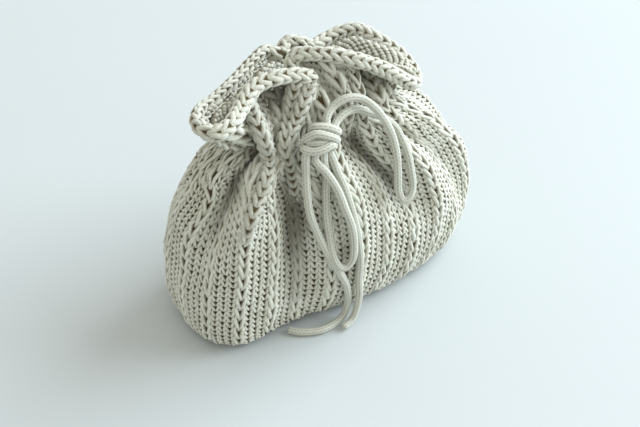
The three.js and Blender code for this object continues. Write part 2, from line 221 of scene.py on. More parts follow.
def knittedCottonCord(look):
    # Machine-knitted cotton cord: fine even stitches, matt, pale on the stitches, with shade painted darker
    # into the grooves
    material, tree, shader, place = startMaterial("knitted cotton cord", look["finish"])
    height = addNode(tree, "ShaderNodeAttribute", attribute_name="stitchHeight")
    patch = addNode(tree, "ShaderNodeTexNoise",
                    {"Vector": place, "Scale": 1 / (look["patch"] * mm), "Detail": 3.0})
    fuzz = addNode(tree, "ShaderNodeTexNoise",
                   {"Vector": place, "Scale": 1 / (look["fuzz"] * mm), "Detail": 2.0})
    groove = addNode(tree, "ShaderNodeMapRange",
                     {"Value": height.outputs["Fac"], "From Min": 0.0, "From Max": look["grooveTop"],
                      "To Min": look["grooveShare"], "To Max": 0.0})
    colour = linear(look["shade"])
    for share, tone in ((patch.outputs["Fac"], "light"), (groove.outputs[0], "groove")):
        mixed = addNode(tree, "ShaderNodeMix", {0: share, 6: colour, 7: linear(look[tone])},
                        data_type="RGBA")
        colour = mixed.outputs[2]
    bump = addNode(tree, "ShaderNodeBump", {"Height": fuzz.outputs["Fac"], "Strength": look["bump"],
                                            "Distance": look["fuzzHeight"] * mm})
    tree.links.new(colour, shader.inputs["Base Color"])
    tree.links.new(bump.outputs[0], shader.inputs["Normal"])
    return material


yarnCotton = combedCottonYarn(yarnLook)
shadeSheetCotton = shadeSheet(shadeSheetLook)
cordCotton = knittedCottonCord(cordLook)
print("materials ready")


# Cords: each route is a list of places along the cord as it lies, in millimetres
cordSize = {"diameter": 4.6, "wales": 4, "stitch": 2.4, "relief": 0.34, "middle": 0.6, "valley": 0.04,
            "fullness": 0.6, "legDepth": 0.55, "endRound": 0.35, "endTip": 0.02, "sides": 32, "step": 0.45}
knotPlace = {"centre": (-20.2, -32, 134), "side": (0.913, -0.211, -0.351), "out": (-0.022, -0.879, 0.476)}
knotSide = unit(np.array(knotPlace["side"]))
knotOut = unit(np.array(knotPlace["out"]))
knotUp = unit(np.cross(knotOut, knotSide))
tableHeight = 2.7  # centre of a cord that lies on the table


def onKnot(side, up, out):
    # A place told from the knot's centre
    return tuple(np.array(knotPlace["centre"]) + knotSide * side + knotUp * up + knotOut * out)


loopRightRoute = [
    onKnot(3.4, 7.2, -1.6), (-11.8, -24.8, 141.4), (-6.3, -22.5, 144.8), (1.4, -23.8, 148.2),
    (9.7, -26.4, 146.4), (15.7, -31.7, 140.7), (20.1, -35.7, 132.4), (24.2, -38.7, 120.4),
    (24.5, -43.1, 109.3), (23.5, -46.4, 98.5), (22.9, -48.6, 88.8), (24.7, -51.2, 82.4), (28.4, -52, 83.2),
    (31.8, -50.4, 88.1), (32.4, -47.1, 98.7), (32.2, -43.6, 107.6), (31.3, -39.2, 115.4),
    (29.5, -33.3, 122.5), (23.5, -28.5, 129.2), (16.3, -26.5, 134.1), (8.6, -24.6, 138.5),
    (-0.2, -25.4, 139.9), (-6.5, -26.8, 137.9), onKnot(6.4, 4.6, -0.4)]
loopLowerRoute = [
    onKnot(1.5, -5, 1), onKnot(2.8, -10.4, 0), (-20.4, -37.5, 114), (-23, -41, 104), (-25.4, -45, 91),
    (-26, -48.5, 80), (-26, -52, 67), (-24.6, -54, 60), (-21.6, -55.5, 55.2), (-18, -56.2, 55),
    (-15, -56.8, 59), (-13.9, -57, 67), (-15, -56, 84), (-17.4, -52, 97), (-19.5, -46.8, 109),
    (-22.8, -41.8, 118), onKnot(-2.8, -10.4, 0), onKnot(-1.5, -5, 1)]
tailLeftRoute = [
    onKnot(-4, -4, -1), onKnot(-8.4, -8.3, 0.4), (-32.5, -35.5, 120), (-34.5, -39, 111), (-35.6, -43.5, 97),
    (-33.2, -46.5, 84), (-30.2, -49, 73), (-26.6, -51.6, 62), (-21.4, -53.2, 49), (-15.8, -52.8, 34),
    (-13.2, -51.4, 20), (-13.6, -50.6, 11), (-16, -50.8, 5), (-22.2, -51.6, tableHeight),
    (-32.8, -51.7, tableHeight), (-43.9, -46.5, tableHeight), (-50.5, -40, tableHeight)]
tailRightRoute = [
    onKnot(4, -4, -1), onKnot(7.4, -8.6, 0), (-15, -41, 114), (-13.5, -45.5, 106), (-11.6, -49.6, 93),
    (-9.4, -52.4, 78), (-8.2, -53.8, 66), (-7.4, -54.8, 52), (-7.8, -54.6, 37), (-7.4, -55, 23.6),
    (-8.8, -55, 12.3), (-12.8, -56.2, 5), (-21.1, -57.6, tableHeight)]
knotWraps = [
    [onKnot(-5.5, 5.0, -3.5), onKnot(-5.2, 6.8, 1.5), onKnot(0, 7.4, 4.0), onKnot(5.5, 6.4, 3.8),
     onKnot(9.3, 5.4, 1), onKnot(9.3, 4, -3.5)],
    [onKnot(-8.2, -1.5, -3.5), onKnot(-9.4, 0.3, 0.8), onKnot(-5.9, 3.2, 4.8), onKnot(0, 2.8, 6.2),
     onKnot(5.5, 1.6, 5.4), onKnot(8.6, 0.6, 1.5), onKnot(8.2, 0, -3.5)],
    [onKnot(-7.8, -4.5, -3.5), onKnot(-10, -5.6, 0), onKnot(-6.3, -6.4, 4.0), onKnot(-1.5, -4.6, 6.2),
     onKnot(3.2, -2.0, 6.0), onKnot(6.3, -2.6, 3), onKnot(7, -3.2, -2)],
    [onKnot(-8.6, -2.6, -1), onKnot(-5, -1.7, 3), onKnot(0, -0.9, 4.2), onKnot(5, -0.6, 3)]]


def smoothRoute(points, step, perSpan=40):
    # Centripetal curve through the points, read off at even steps
    p = np.array(points, float)
    p = np.vstack([2 * p[0] - p[1], p, 2 * p[-1] - p[-2]])
    found = []
    for k in range(1, len(p) - 2):
        gaps = np.linalg.norm(np.diff(p[k - 1:k + 3], axis=0), axis=1) ** 0.5
        knots = np.concatenate([[0], np.cumsum(gaps)])
        t = np.linspace(knots[1], knots[2], perSpan, endpoint=k == len(p) - 3)[:, None]
        a = [(knots[i + 1] - t) / (knots[i + 1] - knots[i]) * p[k - 1 + i]
             + (t - knots[i]) / (knots[i + 1] - knots[i]) * p[k + i] for i in range(3)]
        b = [(knots[i + 2] - t) / (knots[i + 2] - knots[i]) * a[i]
             + (t - knots[i]) / (knots[i + 2] - knots[i]) * a[i + 1] for i in range(2)]
        found.append((knots[2] - t) / (knots[2] - knots[1]) * b[0]
                     + (t - knots[1]) / (knots[2] - knots[1]) * b[1])
    line = np.vstack(found)
    length = lengthAlong(line)
    at = np.linspace(0, length[-1], int(round(length[-1] / step)) + 1)
    return readAlong(at, length, line), length[-1]


def alongFrames(line):
    # Two crosswise directions at each point, carried along without twist
    ahead = unit(np.gradient(line, axis=0))
    anyWay = (0.3, 0.2, 0.9)  # no cord starts in this direction
    first = np.cross(ahead[0], anyWay)
    across = [first / np.linalg.norm(first)]
    for way in ahead[1:]:
        kept = across[-1] - way * np.dot(across[-1], way)
        across.append(kept / np.linalg.norm(kept))
    across = np.array(across)
    return across, np.cross(ahead, across)


def closedTube(rings, sides):
    # Faces of a stack of rings, closed at both ends
    faces = []
    for low in range(0, (rings - 1) * sides, sides):
        for j in range(sides):
            k = (j + 1) % sides
            faces.append((low + j, low + k, low + sides + k, low + sides + j))
    return faces + [tuple(reversed(range(sides))), tuple((rings - 1) * sides + j for j in range(sides))]


def cordTube(points, size):
    # Vertices, faces and stitch heights of one knitted cord with closed, rounded ends
    line, length = smoothRoute(points, size["step"])
    across, other = alongFrames(line)
    along = np.linspace(0, length, len(line))[:, None]
    angle = np.linspace(0, turn, size["sides"], endpoint=False)[None, :]
    wale = np.abs((angle / turn * size["wales"]) % 1 - 0.5) * 2
    leg = 0.5 + 0.5 * np.cos(turn * (along / size["stitch"] - wale))
    rounded = np.sin(math.pi * np.clip(wale, size["valley"], 1 - size["valley"])) ** size["fullness"]
    height = rounded * (1 - size["legDepth"] + size["legDepth"] * leg)
    fromEnd = np.minimum(along, length - along) / (size["diameter"] * size["endRound"])
    closing = np.sqrt(1 - (1 - np.clip(fromEnd, size["endTip"], 1)) ** 2)
    radius = (size["diameter"] / 2 + size["relief"] * (height - size["middle"])) * closing
    ring = across[:, None] * np.cos(angle)[..., None] + other[:, None] * np.sin(angle)[..., None]
    vertices = line[:, None] + ring * radius[..., None]
    return vertices.reshape(-1, 3), closedTube(*height.shape), height.ravel(), line, length


def meshObject(name, vertices, faces, material):
    mesh = bpy.data.meshes.new(name)
    mesh.from_pydata((np.asarray(vertices) * mm).tolist(), [], faces)
    mesh.polygons.foreach_set("use_smooth", [True] * len(mesh.polygons))
    mesh.materials.append(material)
    made = bpy.data.objects.new(name, mesh)
    scene.collection.objects.link(made)
    return made


def makeCord(name, routes, size):
    # One mesh of one or more cords, with the line and length of the last
    vertices, faces, heights, start = [], [], [], 0
    for route in routes:
        v, f, h, line, length = cordTube(route, size)
        vertices.append(v)
        heights.append(h)
        faces += [tuple(start + k for k in face) for face in f]
        start += len(v)
    made = meshObject(name, np.vstack(vertices), faces, cordCotton)
    stored = made.data.attributes.new("stitchHeight", "FLOAT", "POINT")
    stored.data.foreach_set("value", np.concatenate(heights).astype(np.float32))
    return made, line, length


bowKnot, _, _ = makeCord("knot_wraps", knotWraps, cordSize)
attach(bowKnot, "pouch")
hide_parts("bow_knot")
for name, route, node, body, farEnd in [
    ("loop_right_cord", loopRightRoute, "bow_loop_right", "right_loop", "object"),
    ("loop_lower_cord", loopLowerRoute, "bow_loop_lower", "lower_loop", "object"),
    ("tail_left_cord", tailLeftRoute, "bow_tail_left", "left_tail", "bare"),
    ("tail_right_cord", tailRightRoute, "bow_tail_right", "right_tail", "bare"),
]:
    cord, line, length = makeCord(name, [route], cordSize)
    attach(cord, body)
    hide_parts(node)
    print(f"{name}: {length:.0f} mm of cord")


# Cloth: the pouch's own shape, in millimetres, with columns counted round from the seam and rows counted up.
# Between frontFrom and frontTo, as shares of the way round, folds take the place of the pleats
cloth = {"columns": 104, "repeat": 4, "wallRows": 32, "frillRows": 9, "perColumn": 4, "perRow": 4,
         "seam": 0.7109, "wallFoot": 0.06, "frillTop": 0.9, "pleatDepth": 5.0, "settle": 1.6,
         "evened": 0.8, "gatherFrom": 20, "frontFrom": (0.40, 0.46), "frontTo": (0.91, 0.95),
         "flareOut": 4.0, "flareUp": 15.0, "lipHold": 11.0,
         "lumps": 8, "lumpDepth": 0.4, "lumpLength": (18, 45), "lumpSeed": 5,
         "columnWidth": 5.1, "spread": (0.6, 1.3), "spreadEven": 2,
         # The hollows' painted shade: how far round the cloth is compared, how far the result is evened, and
         # the depths where the shade starts and is full
         "hollowReach": 20, "hollowEven": 6, "hollowDepth": (0.3, 5.0)}
# How closely its curves are followed: points round the oval, up the wall, round a row and along the rim, and
# the steps to either side, as shares of the way round, that give the oval's and the rim's direction
fine = {"oval": 721, "wall": 121, "row": 1441, "rim": 1600, "ovalStep": 0.004, "rimStep": 0.001}
# Height, half-width, half-depth, how square the oval is and its shift to the right
wallSections = [
    (0, 92, 42, 3.0, -4), (8, 99, 47, 3.0, -4), (30, 105, 51, 2.8, -0.65), (60, 102, 50, 2.6, 0),
    (90, 89, 44, 2.4, -3), (112, 72, 35, 2.2, -6), (126, 50, 25, 2.0, -3)]
# How far the pleats have grown at each height
pleatGrowth = [(0, 0), (30, 0), (60, 0.36), (90, 0.8), (112, 0.7), (126, 0.25)]
# Ridges of the pleats, as shares of the way round
ridges = [
    0.010, 0.070, 0.135, 0.195, 0.250, 0.310, 0.370, 0.425, 0.480, 0.535, 0.592, 0.637, 0.757, 0.835, 0.890,
    0.950]
# Rim of the frill: share of the way round, x, y, z and the lip's rise in degrees
rimTable = [
    (0.000, 60, -8, 136, -45), (0.035, 58, 3, 141.5, -20), (0.075, 49.5, 15, 149, 15),
    (0.120, 41, 25, 153, 40), (0.160, 28, 29, 151, 50), (0.195, 12.5, 27, 150.5, 60),
    (0.225, 4, 29, 155, 65), (0.255, -3, 31.5, 155, 60), (0.280, -9, 25.5, 153, 60),
    (0.310, -16.5, 30, 156, 60), (0.350, -30, 24.5, 157, 60), (0.390, -46, 15.5, 156, 55),
    (0.430, -62, 7.5, 156, 45), (0.470, -78, -2, 158, 35), (0.500, -83, -14, 158, 35),
    (0.525, -79, -22, 157.5, 40), (0.555, -68.5, -20.5, 158, 50), (0.585, -57.5, -11.5, 158, 60),
    (0.620, -43, -3.5, 162, 60), (0.655, -24, -4, 161.5, 60), (0.690, -9.5, -6.5, 156.5, 60),
    (0.715, -16, 3, 157, 60), (0.745, -12, 7, 163.5, 60), (0.785, 2, -1, 164, 60),
    (0.830, 16, -10, 160.5, 40), (0.875, 30, -13.5, 152.5, 20), (0.920, 45, -16.5, 141, -20),
    (0.965, 56, -16, 132.5, -45)]
# Rows up: how deep the ribs are, and the share of a repeat that its slipped column takes
ribTable = [
    (0, 0.7, 0.29), (16, 0.9, 0.28), (23, 1.2, 0.29), (27.5, 2.0, 0.33), (30, 3.0, 0.40), (32, 3.9, 0.48),
    (34, 4.2, 0.50), (36.5, 4.0, 0.48), (39, 2.6, 0.43), (41, 1.2, 0.40)]
# Columns drawn aside at the neck: the column, counted from the seam, and its shift round
neckShift = [
    (79.5, 0), (87.5, -0.004), (91.5, -0.016), (95.5, -0.027), (99.5, -0.043), (103.5, -0.038),
    (107.5, -0.012), (111.5, -0.006), (115.5, 0)]
# Folds of the front, where the cloth gathers to the knot: each point is its height up the wall, its place
# round, its half-width (both as shares) and how far it stands out, in millimetres
folds = [
    [(0.40, 0.572, 0.024, 0), (0.55, 0.581, 0.024, 5), (0.68, 0.589, 0.023, 10), (0.80, 0.600, 0.022, 12),
     (0.90, 0.597, 0.020, 10), (1.00, 0.588, 0.018, 6)],
    [(0.42, 0.535, 0.020, 0), (0.55, 0.548, 0.020, -5), (0.68, 0.556, 0.019, -11), (0.80, 0.562, 0.018, -15),
     (0.90, 0.560, 0.018, -11), (1.00, 0.553, 0.016, -4)],
    [(0.10, 0.660, 0.034, 0), (0.20, 0.660, 0.034, -4), (0.35, 0.662, 0.033, -9), (0.50, 0.664, 0.030, -12),
     (0.65, 0.666, 0.028, -14), (0.80, 0.663, 0.025, -17), (0.90, 0.655, 0.022, -11),
     (1.00, 0.648, 0.018, -4)],
    [(0.84, 0.630, 0.012, 0), (0.92, 0.627, 0.012, 3), (1.00, 0.624, 0.012, 5)],
    [(0.40, 0.750, 0.020, 0), (0.55, 0.747, 0.019, 3), (0.70, 0.742, 0.018, 4), (0.85, 0.735, 0.018, 4),
     (1.00, 0.728, 0.018, 1.5)],
    [(0.45, 0.830, 0.027, 0), (0.58, 0.820, 0.027, -8), (0.70, 0.806, 0.028, -12), (0.85, 0.791, 0.027, -12),
     (1.00, 0.775, 0.020, -3)],
    [(0.40, 0.880, 0.024, 0), (0.55, 0.872, 0.024, 4), (0.72, 0.860, 0.022, 7), (0.88, 0.846, 0.020, 5),
     (1.00, 0.832, 0.020, 1.5)],
    [(0.35, 0.912, 0.022, 0), (0.50, 0.908, 0.022, -5), (0.72, 0.897, 0.020, -7), (0.90, 0.882, 0.018, -5),
     (1.00, 0.868, 0.018, -1.5)],
    [(0.40, 0.945, 0.022, 0), (0.60, 0.938, 0.022, 4), (0.80, 0.927, 0.020, 5), (1.00, 0.905, 0.020, 1.5)],
    [(0.40, 0.500, 0.030, 0), (0.60, 0.503, 0.028, 3), (0.80, 0.515, 0.025, 5), (1.00, 0.540, 0.022, 1.5)],
    [(0.00, 0.680, 0.055, -11), (0.10, 0.680, 0.055, -9), (0.20, 0.680, 0.055, -5), (0.35, 0.680, 0.055, -1),
     (0.50, 0.680, 0.055, 0)],
    [(0.00, 0.500, 0.060, -1), (0.30, 0.500, 0.060, -3), (0.55, 0.500, 0.060, -2.5),
     (0.90, 0.500, 0.050, 0)]]
# Shaded places under the lips: column from the seam, half-width, row, half-height and strength
lipShade = [(18.0, 4.0, 36.5, 3.5, 0.75), (10.0, 5.0, 36.0, 4.0, 0.45), (92.0, 3.5, 36.0, 4.0, 0.5)]
# Folds of the frill: height up the frill, place round, half-width, how far it stands out and hangs down
frillFolds = [
    [(0.00, 0.604, 0.014, -2, 0), (0.20, 0.612, 0.016, -9, 0), (0.50, 0.626, 0.018, -14, 0),
     (0.75, 0.632, 0.018, -9, 0), (1.00, 0.640, 0.018, 0, 0)],
    [(0.00, 0.665, 0.014, -2, 0), (0.20, 0.695, 0.022, -9, 0), (0.50, 0.712, 0.024, -13, 0),
     (0.75, 0.718, 0.022, -8, 0), (1.00, 0.725, 0.020, 0, 0)],
    [(0.00, 0.500, 0.036, 0, 0), (0.20, 0.504, 0.036, 6, 5), (0.45, 0.510, 0.036, 7, 6),
     (0.75, 0.520, 0.030, 3, 3), (1.00, 0.530, 0.030, 0, 0)],
    [(0.00, 0.562, 0.014, 0, 0), (0.25, 0.570, 0.015, -7, 0), (0.50, 0.576, 0.016, -10, 0),
     (0.80, 0.582, 0.015, -6, 0), (1.00, 0.588, 0.015, 0, 0)],
    [(0.00, 0.775, 0.015, 0, 0), (0.30, 0.785, 0.020, 4, 0), (0.60, 0.790, 0.020, 4, 0),
     (1.00, 0.790, 0.020, 0, 0)],
    [(0.00, 0.870, 0.022, -2, 0), (0.30, 0.880, 0.034, -11, 0), (0.55, 0.882, 0.035, -14, 0),
     (0.80, 0.882, 0.034, -8, 0), (1.00, 0.880, 0.030, 0, 0)]]


def smoothTable(keys, rows, at):
    # A smooth curve through a table's rows, read at the given keys
    keys, rows, at = np.asarray(keys, float), np.asarray(rows, float), np.asarray(at, float)
    slope = np.diff(rows, axis=0) / np.diff(keys)[:, None]
    slopes = np.vstack([slope[:1], (slope[:-1] + slope[1:]) / 2, slope[-1:]])
    i = np.clip(np.searchsorted(keys, at, side="right") - 1, 0, len(keys) - 2)
    h = (keys[i + 1] - keys[i])[..., None]
    t = (at - keys[i])[..., None] / h
    return ((2 * t ** 3 - 3 * t ** 2 + 1) * rows[i] + (t ** 3 - 2 * t ** 2 + t) * h * slopes[i]
            + (3 * t ** 2 - 2 * t ** 3) * rows[i + 1] + (t ** 3 - t ** 2) * h * slopes[i + 1])


def walkOval(a, b, n, share):
    # A rounded oval walked at an even pace from the right-hand side over the back
    t = np.linspace(0, turn, fine["oval"])
    c, s = np.cos(t), np.sin(t)
    p = np.stack([a * np.sign(c) * np.abs(c) ** (2 / n), b * np.sign(s) * np.abs(s) ** (2 / n)], -1)
    length = lengthAlong(p)
    return readAlong((share % 1.0) * length[-1], length, p)


def pleatWave(share):
    # 1 on each ridge and -1 midway between two
    marks = np.array([ridges[-1] - 1] + ridges + [ridges[0] + 1])
    return np.cos(turn * np.interp(share % 1.0, marks, np.arange(len(marks))))


def ease(at, low, high):
    t = np.clip((at - low) / (high - low), 0, 1)
    return t * t * (3 - 2 * t)


def foldRelief(table, share, up):
    # How far the folds move each point outward and, for the frill, downward
    moved = 0.0
    for fold in table:
        ups, *shape = np.array(fold).T
        place, width, *heights = [np.interp(up, ups, row) for row in shape]
        away = (share - place + 0.5) % 1.0 - 0.5
        within = ups[0] <= up <= ups[-1]
        moved = moved + np.outer(np.exp(-(away / width) ** 2), heights if within else np.zeros(len(heights)))
    return moved


def wallPoints(share, up, pleats=1.0, inward=0.0):
    # One level of the wall: an oval with its pleats and, in front, its folds
    height, a, b, n, centre = smoothTable(np.linspace(0, 1, len(wallSections)), wallSections, [up])[0]
    here = walkOval(a, b, n, share)
    step = walkOval(a, b, n, share + fine["ovalStep"]) - walkOval(a, b, n, share - fine["ovalStep"])
    out = unit(np.stack([step[:, 1], -step[:, 0]], -1))
    growth = np.interp(height, *np.array(pleatGrowth).T)
    front = ease(share % 1.0, *cloth["frontFrom"]) * (1 - ease(share % 1.0, *cloth["frontTo"]))
    move = pleats * (cloth["pleatDepth"] * growth * pleatWave(share) * (1 - front)
                     + foldRelief(folds, share, up)[:, 0]) - inward
    flat = here + out * move[:, None]
    return np.column_stack([flat[:, 0] + centre, flat[:, 1], np.full(len(share), height)])


def rimPoints(share):
    # The rim's places round the frill, and the lip's rise there
    table = np.array(rimTable)
    oneRound = np.eye(1, table.shape[1])
    keys = np.vstack([table[-3:] - oneRound, table, table[:3] + oneRound])
    found = smoothTable(keys[:, 0], keys[:, 1:], share % 1.0)
    return found[:, :3], np.radians(found[:, 3])


def rimLip(share):
    # The rim's places, and the way its lip points there
    place, lip = rimPoints(share)
    step = rimPoints(share + fine["rimStep"])[0] - rimPoints(share - fine["rimStep"])[0]
    out = unit(np.column_stack([step[:, 1], -step[:, 0], np.zeros(len(share))]))
    return place, out * np.cos(lip)[:, None] + upward * np.sin(lip)[:, None]


def frillPoints(share, up):
    # A bent line from the neck up to the rim, moved by the frill's folds
    foot = wallPoints(share, 1.0, 1.0, cloth["settle"])
    place, lipWay = rimLip(share)
    _, a, b, _, centre = wallSections[-1]
    flare = unit(np.column_stack([(foot[:, 0] - centre) / a, foot[:, 1] / b, np.zeros(len(share))]))
    first = foot + flare * cloth["flareOut"] + upward * cloth["flareUp"]
    second = place - lipWay * cloth["lipHold"]
    moved = foldRelief(frillFolds, share, up)
    line = ((1 - up) ** 3 * foot + 3 * (1 - up) ** 2 * up * first + 3 * (1 - up) * up ** 2 * second
            + up ** 3 * place)
    return line + flare * moved[:, :1] - upward * moved[:, 1:]


def rowHeights(rows):
    # Share of the way up the wall for each row, even along the cloth
    ups = np.linspace(cloth["wallFoot"], 1, fine["wall"])
    table = smoothTable(np.linspace(0, 1, len(wallSections)), wallSections, ups)
    inward = (np.abs(np.diff(table[:, 1])) + np.abs(np.diff(table[:, 2]))) / 2
    length = np.concatenate([[0], np.cumsum(np.hypot(np.diff(table[:, 0]), inward))])
    return np.interp(rows / cloth["wallRows"] * length[-1], length, ups)


def sharedOut(around, row):
    # Columns keep an even width along the folded wall, and are drawn aside at the neck as its folds are
    plain = cloth["seam"] + around
    column = around * cloth["columns"]
    column = np.where(column < neckShift[-1][0] - cloth["columns"], column + cloth["columns"], column)
    drawn = plain + np.interp(column, *np.array(neckShift).T)
    if row > cloth["wallRows"]:
        return plain + (drawn - plain) * max(0, 1 - 2 * (row - cloth["wallRows"]) / cloth["frillRows"])
    once = np.linspace(0, 1, fine["row"])
    share = cloth["seam"] + once
    length = lengthAlong(wallPoints(share, rowHeights(row)))
    taken = cloth["evened"] * length / length[-1] + (1 - cloth["evened"]) * once
    even = np.floor(around) + np.interp(around % 1.0, taken, share)
    return even + (drawn - even) * ease(row, cloth["gatherFrom"], cloth["wallRows"])


def clothGrid():
    # Points of the whole cloth; the last column of each repeat is the slipped one, and ribs crest on it
    rows = np.arange((cloth["wallRows"] + cloth["frillRows"]) * cloth["perRow"] + 1) / cloth["perRow"]
    columns = np.arange(cloth["columns"] * cloth["perColumn"] + 1) / cloth["perColumn"]
    whole, part = np.divmod(columns, cloth["repeat"])
    plain = cloth["repeat"] - 1
    halfColumn = 0.5 / cloth["repeat"]
    grid, ribs = [], []
    for row in rows:
        depth, slipped = [np.interp(row, *np.array(ribTable).T[[0, k]]) for k in (1, 2)]
        inside = np.where(part < plain, part / plain * (1 - slipped), 1 - slipped + (part - plain) * slipped)
        place = whole + inside + slipped / 2 - halfColumn
        share = sharedOut(place / (cloth["columns"] / cloth["repeat"]), row)
        if row <= cloth["wallRows"]:
            grid.append(wallPoints(share, rowHeights(row), 1.0, cloth["settle"]))
        else:
            up = (row - cloth["wallRows"]) / cloth["frillRows"] * cloth["frillTop"]
            grid.append(frillPoints(share, up))
        ribs.append(depth * (1 - np.cos(turn * (place - 1 + halfColumn))) / 2)
    grid, ribs = np.array(grid), np.array(ribs)
    grid = grid + outward(grid) * (handMade(grid) - ribs)[..., None]
    return grid, outward(grid), columns, rows


def handMade(grid):
    # A little lumpiness: a few slow waves in every direction
    chance = np.random.default_rng(cloth["lumpSeed"])
    count = cloth["lumps"]
    ways = unit(chance.normal(size=(count, 3)))
    phases = chance.uniform(0, turn, count)
    lengths = chance.uniform(*cloth["lumpLength"], count)
    waves = [np.sin(turn * (grid @ way) / length + phase)
             for way, phase, length in zip(ways, phases, lengths)]
    return sum(waves) * cloth["lumpDepth"] / 2


def outward(grid):
    # Normals of a grid that closes round
    wide = np.concatenate([grid[:, -2:-1], grid, grid[:, 1:2]], axis=1)
    return unit(np.cross(wide[:, 2:] - wide[:, :-2], np.gradient(grid, axis=0)))


def gridFaces(rows, columns):
    # The numbers of a grid's points, and its faces
    index = np.arange(rows * columns).reshape(rows, columns)
    corners = [index[:-1, :-1], index[:-1, 1:], index[1:, 1:], index[1:, :-1]]
    return index, np.stack(corners, -1).reshape(-1, 4)


def gridMesh(name, grid, normals, across, up, inside=None, spread=1.0, hollow=0.0):
    # A helper surface that carries its stitches' places, outward directions, columns' spread and the painted
    # shade of its hollows
    rows, columns = grid.shape[:2]
    faces = gridFaces(rows, columns)[1]
    if inside is not None:
        faces = faces[inside.ravel()[faces].all(axis=1)]
    mesh = bpy.data.meshes.new(name)
    mesh.from_pydata((grid.reshape(-1, 3) * mm).tolist(), [], faces.tolist())
    flat = np.stack(np.broadcast_arrays(across[None, :], up[:, None]), -1).reshape(-1, 2)
    layer = mesh.uv_layers.new(name="stitches")
    layer.data.foreach_set("uv", flat[faces.ravel()].astype(np.float32).ravel())
    stored = mesh.attributes.new("outward", "FLOAT_VECTOR", "POINT")
    stored.data.foreach_set("vector", normals.reshape(-1, 3).astype(np.float32).ravel())
    for label, values in (("spread", spread), ("hollow", hollow)):
        stored = mesh.attributes.new(label, "FLOAT", "POINT")
        stored.data.foreach_set("value", np.broadcast_to(values, (rows, columns)).astype(np.float32).ravel())
    return mesh


def roundAbout(grid, reach):
    # Mean of the cloth round about each point
    for axis, mode in ((1, "wrap"), (0, "edge")):
        beyond = [(0, 0)] * grid.ndim
        beyond[axis] = (reach + 1, reach)
        total = np.cumsum(np.pad(grid, beyond, mode=mode), axis=axis)
        count = 2 * reach + 1
        grid = (np.delete(total, range(count), axis) - np.delete(total, range(-count, 0), axis)) / count
    return grid


def hollowShare(grid, normals, columns, rows):
    # Share of painted shade at each point: how deep it lies below the cloth round about it, or how far it is
    # under a lip
    depth = np.sum((roundAbout(grid, cloth["hollowReach"]) - grid) * normals, axis=-1)
    share = ease(roundAbout(depth, cloth["hollowEven"]), *cloth["hollowDepth"])
    for column, wide, row, high, strength in lipShade:
        spot = np.exp(-((columns[None, :] - column) / wide) ** 2 - ((rows[:, None] - row) / high) ** 2)
        share = np.maximum(share, strength * spot)
    return share


def columnSpread(grid):
    # Width of the columns against their width at rest, evened over about a column
    wide = np.linalg.norm(np.gradient(grid, axis=1), axis=-1) * cloth["perColumn"] / cloth["columnWidth"]
    wide[:, 0] = wide[:, -1] = (wide[:, 0] + wide[:, -1]) / 2
    reach = cloth["spreadEven"]
    padded = np.concatenate([wide[:, -reach - 1:-1], wide, wide[:, 1:reach + 1]], axis=1)
    count = 2 * reach + 1
    evened = sum(padded[:, k:k + wide.shape[1]] for k in range(count)) / count
    return np.clip(evened, *cloth["spread"])


